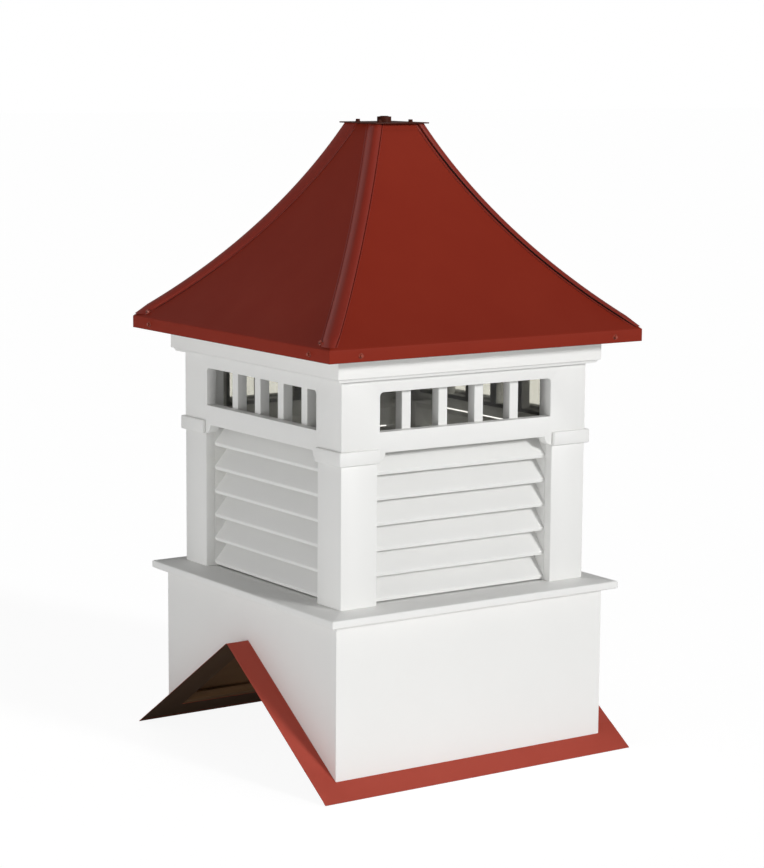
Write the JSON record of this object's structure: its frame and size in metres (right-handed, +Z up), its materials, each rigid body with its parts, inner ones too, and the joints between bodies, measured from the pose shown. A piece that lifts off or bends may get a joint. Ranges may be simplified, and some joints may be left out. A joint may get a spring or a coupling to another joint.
{
  "type": "roof cupola",
  "caption": "Square louvred roof cupola with a transom window band, a concave hipped metal roof and a base notched to sit over a pitched roof ridge.",
  "frame": {"origin": "middle of the footprint, at the height of the lowest edges of the flashing flange", "axes": "+Z up; the front faces -Y; the building's ridge runs along X, so its slopes fall towards -Y and +Y"},
  "size_m": [0.881, 0.881, 1.5145],
  "materials": {
    "white_pvc": "smooth white cellular PVC boards, satin",
    "roof_metal": "dark red factory painted roofing sheet, satin",
    "flange_metal": "dark red factory painted flashing sheet, satin",
    "plate_metal": "dark brown painted steel plate",
    "plywood": "bare plywood and softwood, shaded inside",
    "glass": "clear sheet glass over a dark interior"
  },
  "bodies": {
    "root": {"top_plate": "plate_metal", "finial_collar": "plate_metal", "roof_panel_front": "roof_metal", "roof_panel_right": "roof_metal", "roof_panel_back": "roof_metal", "roof_panel_left": "roof_metal", "hip_cap_front_right": "roof_metal", "hip_cap_back_right": "roof_metal", "hip_cap_back_left": "roof_metal", "hip_cap_front_left": "roof_metal", "eave_soffit": "white_pvc", "crown_front": "white_pvc", "crown_right": "white_pvc", "crown_back": "white_pvc", "crown_left": "white_pvc", "frieze_front": "white_pvc", "frieze_right": "white_pvc", "frieze_back": "white_pvc", "frieze_left": "white_pvc", "transom_glass": "glass", "post_capitals": "white_pvc", "corner_post_front_right": "white_pvc", "corner_post_back_right": "white_pvc", "corner_post_back_left": "white_pvc", "corner_post_front_left": "white_pvc", "louvre_front": "white_pvc", "louvre_right": "white_pvc", "louvre_back": "white_pvc", "louvre_left": "white_pvc", "base_cap_front": "white_pvc", "base_cap_right": "white_pvc", "base_cap_back": "white_pvc", "base_cap_left": "white_pvc", "base_wall_front": "white_pvc", "base_wall_right": "white_pvc", "base_wall_back": "white_pvc", "base_wall_left": "white_pvc", "base_lining": "plywood", "base_cleats": "plywood", "flange_front": "flange_metal", "flange_back": "flange_metal", "flange_left_front": "flange_metal", "flange_left_back": "flange_metal", "flange_right_front": "flange_metal", "flange_right_back": "flange_metal"}
  },
  "joints": []
}
